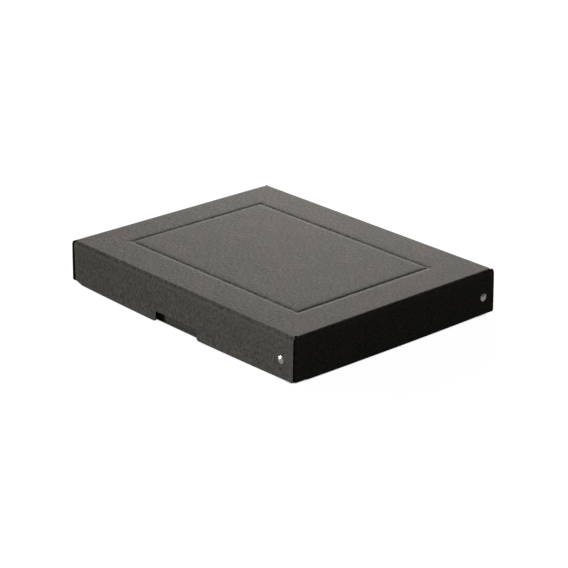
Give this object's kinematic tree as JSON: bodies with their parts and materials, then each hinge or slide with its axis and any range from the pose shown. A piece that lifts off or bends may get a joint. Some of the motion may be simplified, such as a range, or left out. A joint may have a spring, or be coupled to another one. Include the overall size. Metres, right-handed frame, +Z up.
{
  "type": "archival box",
  "caption": "Shallow two-piece storage box of folded dark board: a lift-off lid with thumb notches over an open tray, riveted corners.",
  "frame": {"origin": "centre of the tray's flat underside, on the surface the box stands on", "axes": "+Z up, the way the lid lifts off; X along the long walls; -Y is the front long wall; +X is the short wall with the label marks"},
  "size_m": [0.3344, 0.2604, 0.046],
  "materials": {
    "lid_board": "matt, solid-dyed recycled paperboard, charcoal grey",
    "tray_board": "matt, solid-dyed recycled paperboard, charcoal grey",
    "nickel": "polished nickel plate"
  },
  "bodies": {
    "tray": {"tray_board": "tray_board", "tray_rivet_front": "nickel", "tray_rivet_right": "nickel", "tray_rivet_back": "nickel", "tray_rivet_left": "nickel", "tray_rivet_cap_front": "nickel", "tray_rivet_cap_right": "nickel", "tray_rivet_cap_back": "nickel", "tray_rivet_cap_left": "nickel"},
    "lid": {"lid_board": "lid_board", "lid_rivet_front": "nickel", "lid_rivet_right": "nickel", "lid_rivet_back": "nickel", "lid_rivet_left": "nickel", "lid_rivet_cap_front": "nickel", "lid_rivet_cap_right": "nickel", "lid_rivet_cap_back": "nickel", "lid_rivet_cap_left": "nickel"}
  },
  "joints": [
    {"name": "lid_lift", "type": "slide", "parent": "tray", "child": "lid", "axis": [0, 0, 1], "range_m": [0, 0.12]}
  ]
}
